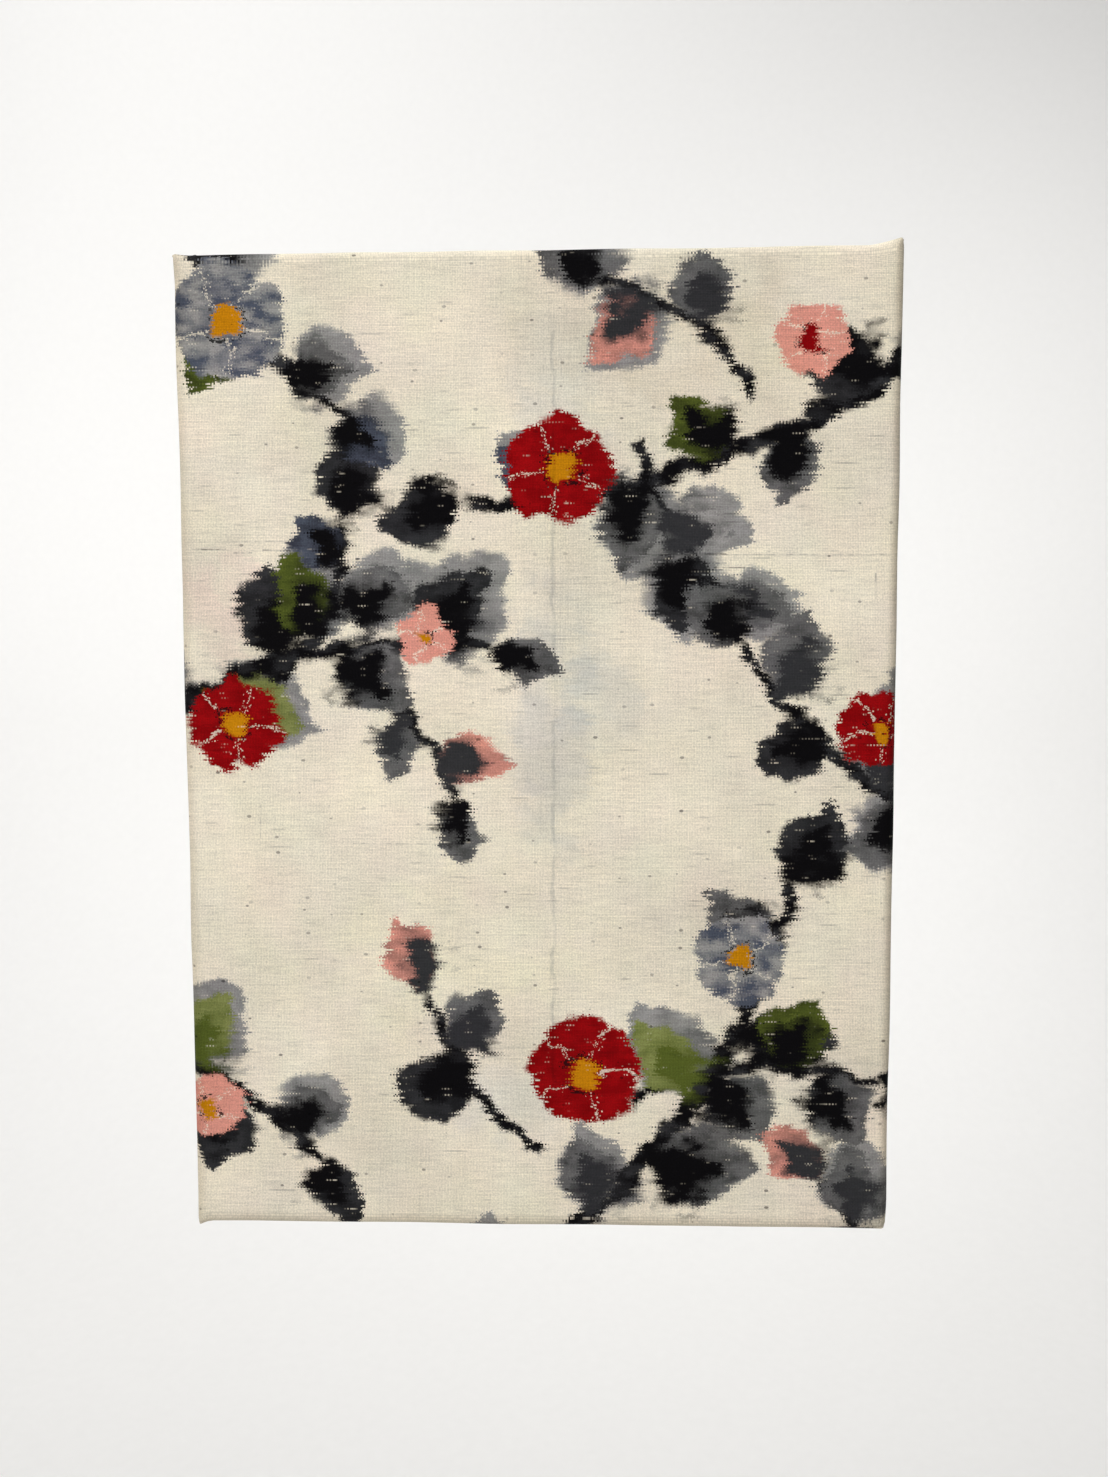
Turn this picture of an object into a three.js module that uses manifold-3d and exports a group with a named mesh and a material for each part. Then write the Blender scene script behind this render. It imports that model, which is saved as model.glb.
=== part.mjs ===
// A fabric art panel: one length of cloth stretched over a wooden stretcher frame,
// folded round its four sides and turned onto its back.
// Millimetres. +Z is up and -Y is the side that is looked at. The origin is where a
// hook in the wall carries the panel: the middle of the top bar's underside.
import * as THREE from 'three';
import { mergeVertices } from 'three/addons/utils/BufferGeometryUtils.js';
import Module from 'manifold-3d';

// The stretcher frame. Its outside is the standard F4 size.
const FRAME_WIDTH = 242;
const FRAME_HEIGHT = 333;
const BAR_WIDTH = 35;
const BAR_DEPTH = 18;
const LIP_WIDTH = 8; // the flat strip at the outer edge that the cloth is stretched over
const BEVEL_DROP = 3; // how far the front falls away from the cloth at the inner edge
const BAR_EDGE_RADIUS = 1.2;

// The cloth, with the gap that keeps it clear of the bars.
const CLOTH_THICKNESS = 1;
const GAP = 0.3;
const MARGIN_WIDTH = 25; // the strip turned onto the back

// What the sizes above give.
const COVER = CLOTH_THICKNESS + GAP;
const PANEL_WIDTH = FRAME_WIDTH + 2 * COVER;
const PANEL_HEIGHT = FRAME_HEIGHT + 2 * COVER;
const PANEL_DEPTH = BAR_DEPTH + 2 * COVER;
const EDGE_RADIUS = BAR_EDGE_RADIUS + COVER; // of the cloth's outside, round the bars' edges
const CORNER_RADIUS = CLOTH_THICKNESS; // of the outline's four corners, seen from the front
const UNDERSIDE_Z = FRAME_HEIGHT / 2 - BAR_WIDTH; // of the top bar, above the middle

// The corner folds lie on the panel's top and bottom and turn over with the margin. right
// and up are the corner's side. ear is how far the fold stands up at the very corner, and
// ear_width how far along the edge it takes to lie down again.
const CORNER_FOLDS = [
  { right: -1, up: 1, ear: 0.9, ear_width: 8 },
  { right: 1, up: 1, ear: 2.7, ear_width: 9 },
  { right: -1, up: -1, ear: 1.1, ear_width: 4 },
  { right: 1, up: -1, ear: 0.5, ear_width: 6 },
];
const FOLD_REACH = 26; // along the edge, where the fold ends at the margin's cut edge
const FOLD_STEP_FRONT = 0.25; // the height of the fold's inner edge over the single cloth
const FOLD_STEP_BACK = 0.8;
const FOLD_INSET = 0.2; // the folded edges stay this far inside the panel's sides
const EAR_CURVE = 1.4; // over 1, the ear rises faster near the corner

// How finely the curves and the flat cloth are divided.
const EDGE_STEPS = 4;
const CORNER_STEPS = 2;
const CELLS_ACROSS = 8;
const CELLS_UP = 11;
const FOLD_CELLS = 8;

const wasm = await Module();
wasm.setup();

// Collects triangles, merging points that fall together and leaving out flat triangles.
class SkinBuilder {
  constructor() {
    this.points = [];
    this.triangles = [];
    this.known = new Map();
  }

  point(x, y, z) {
    const key = [x, y, z].map((value) => Math.round(value * 1e4)).join();
    if (!this.known.has(key)) {
      this.known.set(key, this.points.length / 3);
      this.points.push(x, y, z);
    }
    return this.known.get(key);
  }

  triangle(a, b, c) {
    if (a !== b && b !== c && c !== a) this.triangles.push(a, b, c);
  }

  // The two triangles of a four-cornered patch, its corners counter-clockwise from outside.
  quad(a, b, c, d) {
    this.triangle(a, b, c);
    this.triangle(a, c, d);
  }

  // Joins two rows of points with patches.
  strip(lower, upper) {
    for (let i = 0; i + 1 < lower.length; i += 1) {
      this.quad(lower[i], lower[i + 1], upper[i + 1], upper[i]);
    }
  }

  geometry() {
    const made = new THREE.BufferGeometry();
    made.setAttribute('position', new THREE.Float32BufferAttribute(this.points, 3));
    made.setIndex(this.triangles);
    return made;
  }
}

// Even steps from -1 to 1.
function evenSteps(cells) {
  return Array.from({ length: cells + 1 }, (_, i) => -1 + (2 * i) / cells);
}

// One ring of the cloth, a rectangle with rounded corners, counter-clockwise from the front.
// inset is how far it lies inside the panel's outline, and its last point is its first.
function ring(skin, inset, y) {
  const straight = Math.max(inset, CORNER_RADIUS);
  const half = [PANEL_WIDTH / 2 - straight, PANEL_HEIGHT / 2 - straight];
  const radius = Math.max(0, CORNER_RADIUS - inset);
  const across = evenSteps(CELLS_ACROSS);
  const upward = evenSteps(CELLS_UP);
  const places = [
    ...across.map((t) => [t * half[0], -half[1] - radius]),
    ...arc(half[0], -half[1], radius, -Math.PI / 2),
    ...upward.map((t) => [half[0] + radius, t * half[1]]),
    ...arc(half[0], half[1], radius, 0),
    ...across.map((t) => [-t * half[0], half[1] + radius]),
    ...arc(-half[0], half[1], radius, Math.PI / 2),
    ...upward.map((t) => [-half[0] - radius, -t * half[1]]),
    ...arc(-half[0], -half[1], radius, Math.PI),
  ];
  places.push(places[0]);
  return places.map(([x, z]) => skin.point(x, y, z));
}

// The points between the two ends of a quarter circle.
function arc(x, z, radius, start) {
  return Array.from({ length: CORNER_STEPS - 1 }, (_, i) => {
    const angle = start + ((i + 1) / CORNER_STEPS) * (Math.PI / 2);
    return [x + radius * Math.cos(angle), z + radius * Math.sin(angle)];
  });
}

// The flat sheet inside a ring at this inset. outward is -1 for a face looking at -Y.
function flatSheet(skin, inset, y, outward) {
  const half = [PANEL_WIDTH / 2 - inset, PANEL_HEIGHT / 2 - inset];
  const rows = evenSteps(CELLS_UP).map((v) =>
    evenSteps(CELLS_ACROSS).map((u) => skin.point(u * half[0], y, v * half[1])),
  );
  for (let i = 0; i < CELLS_UP; i += 1) {
    if (outward < 0) skin.strip(rows[i], rows[i + 1]);
    else skin.strip(rows[i + 1], rows[i]);
  }
}

// The cloth's section from the front, round the side, to the margin's inner edge.
// depth is how far the surface lies inside the cloth: 0 outside, its thickness inside.
function section(depth) {
  const front = -PANEL_DEPTH / 2 + depth;
  const back = PANEL_DEPTH / 2 - depth;
  const radius = EDGE_RADIUS - depth;
  const steps = [];
  for (let i = 0; i <= EDGE_STEPS; i += 1) {
    const angle = ((i / EDGE_STEPS) * Math.PI) / 2;
    steps.push([EDGE_RADIUS - radius * Math.sin(angle), front + radius * (1 - Math.cos(angle))]);
  }
  const mirrored = steps.map(([inset, y]) => [inset, front + back - y]).reverse();
  return [...steps, ...mirrored, [MARGIN_WIDTH, back]];
}

// The cloth without its corner folds: a shallow tray with its rim turned in at the back.
function wrap() {
  const skin = new SkinBuilder();
  const outside = section(0).map(([inset, y]) => ring(skin, inset, y));
  const inside = section(CLOTH_THICKNESS).map(([inset, y]) => ring(skin, inset, y));
  for (let i = 0; i + 1 < outside.length; i += 1) {
    skin.strip(outside[i + 1], outside[i]);
    skin.strip(inside[i], inside[i + 1]);
  }
  skin.strip(inside.at(-1), outside.at(-1));
  flatSheet(skin, EDGE_RADIUS, -PANEL_DEPTH / 2, -1);
  flatSheet(skin, EDGE_RADIUS, -PANEL_DEPTH / 2 + CLOTH_THICKNESS, 1);
  return skin.geometry();
}

// Places along a corner fold, from the front edge over the top and down the margin. depth
// is from the panel's front and fall is from its top, both of the cloth under the fold. out
// is the way the fold stands out, along Y and Z. ease lifts it over the front edge's curve.
function foldStations() {
  const stations = [];
  const backEdge = PANEL_DEPTH - EDGE_RADIUS;
  for (let i = 0; i < FOLD_CELLS; i += 1) {
    const depth = FOLD_INSET + (i / FOLD_CELLS) ** 2 * (backEdge - FOLD_INSET);
    const run = Math.max(0, EDGE_RADIUS - depth);
    const fall = EDGE_RADIUS - Math.sqrt(EDGE_RADIUS ** 2 - run ** 2);
    stations.push({ depth, fall, out: [0, 1], ease: fall });
  }
  for (let i = 0; i <= EDGE_STEPS; i += 1) {
    const angle = ((i / EDGE_STEPS) * Math.PI) / 2;
    const [sine, cosine] = [Math.sin(angle), Math.cos(angle)];
    const depth = backEdge + EDGE_RADIUS * sine;
    stations.push({ depth, fall: EDGE_RADIUS * (1 - cosine), out: [sine, cosine], ease: 0 });
  }
  stations.push({ depth: PANEL_DEPTH, fall: MARGIN_WIDTH - FOLD_INSET, out: [1, 0], ease: 0 });
  return stations;
}

// One corner fold, the cloth that is folded in at a corner and the ear that it makes. It is
// thin at its inner, slanting edge and stands up towards the corner.
function cornerFold({ right, up, ear, ear_width: earWidth }) {
  const skin = new SkinBuilder();
  const grid = (height) =>
    foldStations().map((station) => {
      const share = (station.depth + station.fall) / (PANEL_DEPTH + MARGIN_WIDTH);
      const reach = earWidth + share * (FOLD_REACH - earWidth);
      return evenSteps(FOLD_CELLS).map((t) => {
        const along = FOLD_INSET + ((t + 1) / 2) * (reach - FOLD_INSET);
        const stand = height(station, share, (1 - along / reach) ** EAR_CURVE);
        return skin.point(
          right * (PANEL_WIDTH / 2 - along),
          station.depth - PANEL_DEPTH / 2 + station.out[0] * stand,
          up * (PANEL_HEIGHT / 2 - station.fall + station.out[1] * stand),
        );
      });
    });
  const top = grid(({ ease }, share, rise) => {
    const step = FOLD_STEP_FRONT + share * (FOLD_STEP_BACK - FOLD_STEP_FRONT);
    return step + rise * (ear * (1 - share) ** 2 + ease);
  });
  const bottom = grid(() => -CLOTH_THICKNESS / 2);
  const column = (rows, i) => rows.map((row) => row[i]);
  const faces = [
    ...top.slice(1).map((row, i) => [top[i], row]),
    ...bottom.slice(1).map((row, i) => [row, bottom[i]]),
    [top.at(-1), bottom.at(-1)],
    [bottom[0], top[0]],
    [column(top, 0), column(bottom, 0)],
    [column(bottom, FOLD_CELLS), column(top, FOLD_CELLS)],
  ];
  const mirrored = right * up > 0;
  faces.forEach(([lower, upper]) => (mirrored ? skin.strip(upper, lower) : skin.strip(lower, upper)));
  return skin.geometry();
}

// A geometry as a solid that can be joined, and back.
function toSolid(geometry) {
  const merged = mergeVertices(geometry);
  return new wasm.Manifold(
    new wasm.Mesh({
      numProp: 3,
      vertProperties: new Float32Array(merged.attributes.position.array),
      triVerts: new Uint32Array(merged.index.array),
    }),
  );
}

function toGeometry(solid) {
  const { vertProperties, triVerts } = solid.getMesh();
  const made = new THREE.BufferGeometry();
  made.setAttribute('position', new THREE.BufferAttribute(vertProperties, 3));
  made.setIndex(new THREE.BufferAttribute(triVerts, 1));
  return made;
}

function clothGeometry() {
  const joined = CORNER_FOLDS.reduce(
    (cloth, fold) => cloth.add(toSolid(cornerFold(fold))),
    toSolid(wrap()),
  );
  return toGeometry(joined);
}

// A stretcher bar, drawn as its section and mitred at both ends. It lies along X, with its
// outer edge at the top.
function barGeometry(length) {
  const front = -BAR_DEPTH / 2;
  const back = BAR_DEPTH / 2;
  const radius = BAR_EDGE_RADIUS;
  const outline = new THREE.Shape();
  outline.moveTo(front + BEVEL_DROP, -BAR_WIDTH);
  outline.lineTo(back, -BAR_WIDTH);
  outline.lineTo(back, -radius);
  outline.absarc(back - radius, -radius, radius, 0, Math.PI / 2);
  outline.lineTo(front + radius, 0);
  outline.absarc(front + radius, -radius, radius, Math.PI / 2, Math.PI);
  outline.lineTo(front, -LIP_WIDTH);
  const bar = new THREE.ExtrudeGeometry(outline, {
    depth: length,
    bevelEnabled: false,
    curveSegments: EDGE_STEPS / 2, // an arc takes two of them
  });
  bar.deleteAttribute('normal');
  bar.deleteAttribute('uv');
  const merged = mergeVertices(bar);
  const { position } = merged.attributes;
  for (let i = 0; i < position.count; i += 1) {
    const fromOutside = -position.getY(i);
    const end = Math.sign(position.getZ(i) - length / 2);
    const reach = length / 2 - fromOutside - GAP / Math.SQRT2;
    position.setXYZ(i, end * reach, position.getX(i), -fromOutside);
  }
  return merged;
}

const clothMaterial = new THREE.MeshStandardMaterial({
  name: 'cloth',
  color: 0xe2d9c4,
  roughness: 0.95,
  metalness: 0,
});
const woodMaterial = new THREE.MeshStandardMaterial({
  name: 'wood',
  color: 0xd8b98c,
  roughness: 0.7,
  metalness: 0,
});

// turn is how far the bar is turned from lying along the top, in quarter turns.
const BARS = [
  { name: 'bar_top', turn: 0 },
  { name: 'bar_left', turn: 1 },
  { name: 'bar_bottom', turn: 2 },
  { name: 'bar_right', turn: 3 },
];

function stretcher() {
  const frame = new THREE.Group();
  BARS.forEach(({ name, turn }) => {
    const upright = turn % 2 === 1;
    const length = upright ? FRAME_HEIGHT : FRAME_WIDTH;
    const outward = (upright ? FRAME_WIDTH : FRAME_HEIGHT) / 2;
    const angle = (turn * Math.PI) / 2;
    const bar = new THREE.Mesh(barGeometry(length), woodMaterial);
    bar.name = name;
    bar.rotation.y = -angle;
    bar.position.set(-Math.sin(angle) * outward, 0, Math.cos(angle) * outward);
    frame.add(bar);
  });
  return frame;
}

const panel = new THREE.Group();
const cloth = new THREE.Mesh(clothGeometry(), clothMaterial);
cloth.name = 'cloth';
panel.add(cloth, stretcher());
panel.position.z = -UNDERSIDE_Z;

export default panel;
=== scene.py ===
"""The looks of a fabric art panel: ikat-dyed cloth stretched over a wooden frame.

Blender units are metres, and MM turns millimetres into them. X is to the right, +Z is up and
the panel looks towards -Y. The cloth's own places are millimetres from the middle of the
panel, measured on the flat cloth: the weft runs along X and the warp along Z.
"""

import math
import random

import bpy
from mathutils import Matrix, Vector, noise


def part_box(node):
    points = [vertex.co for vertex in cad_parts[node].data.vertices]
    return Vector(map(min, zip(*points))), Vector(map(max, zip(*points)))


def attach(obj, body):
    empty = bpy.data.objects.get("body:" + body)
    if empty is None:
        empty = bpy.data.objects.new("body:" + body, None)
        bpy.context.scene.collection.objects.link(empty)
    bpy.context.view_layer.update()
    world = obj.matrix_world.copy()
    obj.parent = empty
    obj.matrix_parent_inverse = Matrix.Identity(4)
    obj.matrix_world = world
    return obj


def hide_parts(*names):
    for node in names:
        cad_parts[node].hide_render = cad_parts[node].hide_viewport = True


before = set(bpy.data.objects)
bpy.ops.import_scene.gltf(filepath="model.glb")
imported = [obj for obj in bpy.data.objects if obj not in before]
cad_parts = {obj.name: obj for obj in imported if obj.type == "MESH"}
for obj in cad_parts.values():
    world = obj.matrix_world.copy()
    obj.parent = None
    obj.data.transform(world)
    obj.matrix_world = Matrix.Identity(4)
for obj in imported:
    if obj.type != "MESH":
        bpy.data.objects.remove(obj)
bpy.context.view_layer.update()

MM = 0.001
BARS = ("bar_top", "bar_bottom", "bar_left", "bar_right")

# The cloth, in millimetres
COVER = 1.3  # from the frame to the cloth's outside
THICKNESS = 0.45
EDGE_RADIUS = 3.4
CORNER_RADIUS = 1.7
MARGIN_WIDTH = 25.0  # turned onto the back
MARGIN_SINK = 0.65  # how much closer to the wood the margin's cut edge lies

# The middle and the half sizes, from the boxes of the bars
bar_boxes = [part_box(bar) for bar in BARS]
bars_low = [min(box[0][axis] for box in bar_boxes) / MM for axis in range(3)]
bars_high = [max(box[1][axis] for box in bar_boxes) / MM for axis in range(3)]
CENTRE_X, _, CENTRE_Z = [(low + high) / 2 for low, high in zip(bars_low, bars_high)]
HALF_WIDTH, HALF_DEPTH, HALF_HEIGHT = [
    (high - low) / 2 + COVER for low, high in zip(bars_low, bars_high)
]
FLAT_WIDTH = HALF_WIDTH - EDGE_RADIUS  # half the part of the front that is flat
FLAT_HEIGHT = HALF_HEIGHT - EDGE_RADIUS


def rows(columns, table):
    """Turns a table with named columns into dictionaries."""
    return [dict(zip(columns.split(), row)) for row in table]


def srgb(red, green, blue):
    """A colour from its screen values, 0 to 255, as Blender's linear one."""
    def linear(value):
        share = value / 255
        return share / 12.92 if share <= 0.04045 else ((share + 0.055) / 1.055) ** 2.4

    return (linear(red), linear(green), linear(blue), 1.0)


def add_object(name, data):
    made = bpy.data.objects.new(name, data)
    bpy.context.collection.objects.link(made)
    return made


# Camera
PHOTO_HEIGHT = 1477
FOCAL_LENGTH_PX = 1110
SENSOR_HEIGHT = 36.0
CAMERA_FROM_CENTRE = Vector((17.0, -389.3, 32.1))
# In degrees: the pitch, the roll, the yaw, and up from looking down
CAMERA_TURNS = (("X", -4.11), ("Y", 0.06), ("Z", 1.68), ("X", 90))


def make_camera():
    data = bpy.data.cameras.new("camera")
    data.sensor_width = SENSOR_HEIGHT
    data.lens = SENSOR_HEIGHT * FOCAL_LENGTH_PX / PHOTO_HEIGHT
    place = Vector((CENTRE_X, 0, CENTRE_Z)) + CAMERA_FROM_CENTRE
    matrix = Matrix.Translation(place * MM)
    for axis, angle in CAMERA_TURNS:
        matrix = matrix @ Matrix.Rotation(math.radians(angle), 4, axis)
    camera = add_object("camera", data)
    camera.matrix_world = matrix
    bpy.context.scene.camera = camera


# Stage
FLOOR_Z = -1.15
FLOOR_FRONT = -2.2
SWEEP_BACK = 2.2
SWEEP_RADIUS = 0.9
SWEEP_TOP = 2.4
SWEEP_HALF_WIDTH = 3.2
SWEEP_STEPS = 16


def make_stage():
    """A pale floor that curves up into a backdrop far behind the panel."""
    profile = [(FLOOR_FRONT, FLOOR_Z)]
    for i in range(SWEEP_STEPS + 1):
        angle = i / SWEEP_STEPS * math.pi / 2
        y = SWEEP_BACK - SWEEP_RADIUS * (1 - math.sin(angle))
        profile.append((y, FLOOR_Z + SWEEP_RADIUS * (1 - math.cos(angle))))
    profile.append((SWEEP_BACK, SWEEP_TOP))
    points = [(side * SWEEP_HALF_WIDTH, y, z) for y, z in profile for side in (-1, 1)]
    faces = [(2 * i, 2 * i + 1, 2 * i + 3, 2 * i + 2) for i in range(len(profile) - 1)]
    mesh = bpy.data.meshes.new("studio_sweep")
    mesh.from_pydata(points, [], faces)
    mesh.polygons.foreach_set("use_smooth", [True] * len(faces))
    mesh.materials.append(paper_material())
    sweep = add_object("studio_sweep", mesh)


# Lights, as places in metres from the middle of the panel and what they are turned to.
# spread is the angle that their light fans out over.
LIGHTS = rows("name place aim size power spread", [
    ("key_softbox", (-0.25, -2.0, 0.5), (0, 0, 0), 1.1, 1.6, 40),
    ("near_softbox", (-0.4, -0.9, 0.25), (0, 0, 0), 0.5, 0.46, 60),
    ("top_softbox", (-0.9, 0.0, 2.3), (-0.5, 2.2, -1.2), 2.2, 57, 180),
    ("backdrop_softbox_left", (-2.2, 0.3, 0.3), (-0.5, 2.2, 0.1), 1.2, 7.1, 100),
    ("backdrop_softbox_right", (1.3, 0.3, 1.2), (1.0, 2.2, -0.1), 1.2, 5.6, 100),
])
WORLD_COLOUR = (1.0, 1.0, 1.0, 1.0)
WORLD_STRENGTH = 0.2


def make_lights():
    middle = Vector((CENTRE_X, 0, CENTRE_Z)) * MM
    for row in LIGHTS:
        data = bpy.data.lights.new(row["name"], "AREA")
        data.size = row["size"]
        data.energy = row["power"]
        data.spread = math.radians(row["spread"])
        light = add_object(row["name"], data)
        light.location = middle + Vector(row["place"])
        way = Vector(row["aim"]) - Vector(row["place"])
        light.rotation_euler = way.to_track_quat("-Z", "Y").to_euler()
    world = bpy.data.worlds.new("studio")
    world.use_nodes = True
    background = world.node_tree.nodes["Background"]
    background.inputs["Color"].default_value = WORLD_COLOUR
    background.inputs["Strength"].default_value = WORLD_STRENGTH
    bpy.context.scene.world = world
    bpy.context.scene.view_settings.view_transform = "Standard"


# The kinds of socket that a node group may have
SOCKETS = {
    "value": "NodeSocketFloat",
    "place": "NodeSocketVector",
    "colour": "NodeSocketColor",
}


class Nodes:
    """Adds shader nodes to a tree. An input is a number, a vector or another node's output."""

    def __init__(self, tree):
        self.tree = tree

    def add(self, kind, inputs=(), **settings):
        node = self.tree.nodes.new("ShaderNode" + kind)
        for name, value in settings.items():
            setattr(node, name, value)
        pairs = inputs.items() if isinstance(inputs, dict) else enumerate(inputs)
        for key, value in pairs:
            self.feed(node.inputs[key], value)
        return node

    def feed(self, socket, value):
        if isinstance(value, bpy.types.NodeSocket):
            self.tree.links.new(value, socket)
        else:
            socket.default_value = value

    def use(self, group, **inputs):
        """The outputs of a node group."""
        return self.add("Group", inputs, node_tree=group).outputs

    def math(self, operation, *inputs):
        return self.add("Math", inputs, operation=operation).outputs[0]

    def plus(self, first, second):
        return self.math("ADD", first, second)

    def minus(self, first, second):
        return self.math("SUBTRACT", first, second)

    def times(self, first, second):
        return self.math("MULTIPLY", first, second)

    def over(self, first, second):
        return self.math("DIVIDE", first, second)

    def size(self, value):
        return self.math("ABSOLUTE", value)

    def scaled(self, value, factor, offset):
        return self.math("MULTIPLY_ADD", value, factor, offset)

    def vector(self, operation, *inputs):
        return self.add("VectorMath", inputs, operation=operation).outputs[0]

    def combine(self, x, y, z=0.0):
        return self.add("CombineXYZ", (x, y, z)).outputs[0]

    def mix(self, factor, first, second, blend="MIX"):
        inputs = {0: factor, 6: first, 7: second}
        return self.add("Mix", inputs, data_type="RGBA", blend_type=blend).outputs[2]

    def shaded(self, factor, colour, shade):
        return self.mix(factor, colour, shade, blend="MULTIPLY")

    def ramp(self, value, span, low=0.0, high=1.0):
        """Low before the span, high past it, and a soft step between them."""
        inputs = {0: value, 1: span[0], 2: span[1], 3: low, 4: high}
        return self.add("MapRange", inputs, interpolation_type="SMOOTHSTEP").outputs[0]

    def fade(self, value, span):
        """Full before the span, and nothing past it."""
        return self.ramp(value, span, 1.0, 0.0)

    def noise(self, place, detail=0.0, output="Fac", scale=1.0, dimensions="2D"):
        inputs = {"Vector": place, "Scale": scale, "Detail": detail}
        return self.add("TexNoise", inputs, noise_dimensions=dimensions).outputs[output]

    def centred(self, value, spread):
        """Noise round a half as noise round nothing, spread times as wide."""
        return self.scaled(value, spread, -spread / 2)

    def shape_axes(self, place, *ways):
        """A place along a shape's two axes."""
        return [
            self.add("VectorMath", (place, way), operation="DOT_PRODUCT").outputs[1]
            for way in ways
        ]


def make_group(name, inputs, outputs, build):
    """A node group. inputs and outputs are words like place:place, and build makes the nodes."""
    tree = bpy.data.node_groups.new("cloth_" + name, "ShaderNodeTree")
    for words, way in ((inputs, "INPUT"), (outputs, "OUTPUT")):
        for word in words.split():
            label, kind = word.split(":")
            tree.interface.new_socket(label, in_out=way, socket_type=SOCKETS[kind])
    given = tree.nodes.new("NodeGroupInput").outputs
    made = build(Nodes(tree), *list(given)[:-1])
    end = tree.nodes.new("NodeGroupOutput")
    for socket, value in zip(end.inputs, made):
        tree.links.new(value, socket)
    return tree


def make_material(name, settings):
    material = bpy.data.materials.new(name)
    material.use_nodes = True
    shader = material.node_tree.nodes["Principled BSDF"]
    for socket, value in settings.items():
        shader.inputs[socket].default_value = value
    return material, Nodes(material.node_tree), shader


def paper_material():
    """The studio's pale paper, with a faint grain."""
    settings = {"Roughness": 0.95, "Specular IOR Level": 0.1}
    material, nodes, shader = make_material("studio_paper", settings)
    place = nodes.add("TexCoord").outputs["Object"]
    grain = nodes.noise(place, detail=3.0, scale=60.0, dimensions="3D")
    colour = nodes.mix(grain, srgb(243, 242, 240), srgb(247, 246, 244))
    nodes.feed(shader.inputs["Base Color"], colour)
    return material


# The dyes, from their screen values
INKS = {
    "black": srgb(8, 7, 9),
    "charcoal": srgb(48, 48, 50),
    "grey": srgb(104, 103, 102),
    "mist": srgb(146, 144, 141),
    "slate": srgb(74, 79, 92),
    "crimson": srgb(126, 1, 5),
    "rose": srgb(146, 5, 10),
    "salmon": srgb(214, 145, 129),
    "ochre": srgb(188, 123, 8),
    "olive": srgb(80, 90, 34),
    "olive_pale": srgb(126, 132, 76),
    "ground": srgb(227, 217, 197),
}

# The branches of the dyed design, as bowed brush strokes with leaves along them
BRANCHES = rows("start end bow wide narrow leaves leaf side first", [
    ((160, 158), (-24, 84), 18, 8.4, 4.6, 7, 32, 1, 0.12),
    ((74, 120), (22, 158), -6, 5.0, 3.4, 3, 28, -1, 0.45),
    ((34, 104), (62, 56), -5, 4.8, 3.2, 3, 28, 1, 0.45),
    ((-160, -10), (-16, 36), 17, 8.0, 4.4, 6, 33, 1, 0.2),
    ((-92, 24), (-66, 78), -8, 5.0, 3.4, 4, 28, 1, 0.35),
    ((-70, 28), (-28, -16), 7, 4.8, 3.2, 3, 28, -1, 0.45),
    ((-60, -210), (88, -46), -28, 8.8, 4.6, 8, 34, 1, 0.16),
    ((32, -122), (118, -116), 9, 5.0, 3.4, 4, 29, -1, 0.35),
    ((2, -142), (-38, -84), 7, 5.0, 3.2, 3, 29, 1, 0.45),
    ((160, -34), (70, 36), 10, 7.0, 4.0, 5, 31, 1, 0.22),
    ((-160, -100), (-78, -144), 9, 6.4, 3.6, 4, 30, 1, 0.35),
    ((-128, 200), (-66, 114), -9, 6.6, 3.6, 4, 30, 1, 0.3),
    ((150, -190), (98, -150), 6, 5.8, 3.4, 3, 28, 1, 0.45),
])
FLOWERS = rows("place size turn low high heart", [
    ((8, 96), 37, 10, "crimson", "rose", "ochre"),
    ((92, 138), 25, 40, "salmon", "salmon", "crimson"),
    ((-104, 10), 33, 25, "crimson", "rose", "ochre"),
    ((-38, 40), 19, 0, "salmon", "salmon", "ochre"),
    ((16, -112), 39, 30, "crimson", "rose", "ochre"),
    ((70, -72), 32, 5, "slate", "mist", "ochre"),
    ((-104, 146), 40, 15, "slate", "mist", "ochre"),
    ((116, 8), 27, 20, "crimson", "rose", "ochre"),
    ((-116, -126), 24, 10, "salmon", "salmon", "ochre"),
])
DYE_BLUR = 0.7  # of a flower's edges, in millimetres
# The inks of the leaves in turn, from the stalk to the tip
LEAF_INKS = [
    ("grey", "black"), ("charcoal", "black"), ("grey", "black"), ("olive", "black"),
    ("grey", "black"), ("slate", "black"), ("charcoal", "black"), ("grey", "charcoal"),
    ("salmon", "charcoal"), ("grey", "black"), ("mist", "charcoal"), ("charcoal", "black"),
    ("grey", "charcoal"), ("grey", "black"), ("olive_pale", "olive"), ("charcoal", "black"),
]
DESIGN_SEED = 11
LEAF_STAND = 0.56  # of a leaf's length, from the branch to the leaf's middle
TIP_LEAN = 0.2  # of its lean, what the last leaf keeps
LEAF_SHRINK = 0.15  # of a leaf's length, from the branch's start to its tip
WASH_SHARE = 0.5  # of the leaves that have a grey wash behind them
WASH_SHIFTS = ((1, 4), (0, 3.5))  # to the right and up, in millimetres
WASH_SIZE = 1.24  # to its leaf's
WASH_PLUMPNESS = 1.14
LEAN_ANGLES = (42, 76)  # of a leaf from its branch, in degrees
LEAF_SIZES = (0.84, 1.2)
LEAF_PLUMPNESS = (0.62, 0.86)

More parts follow.
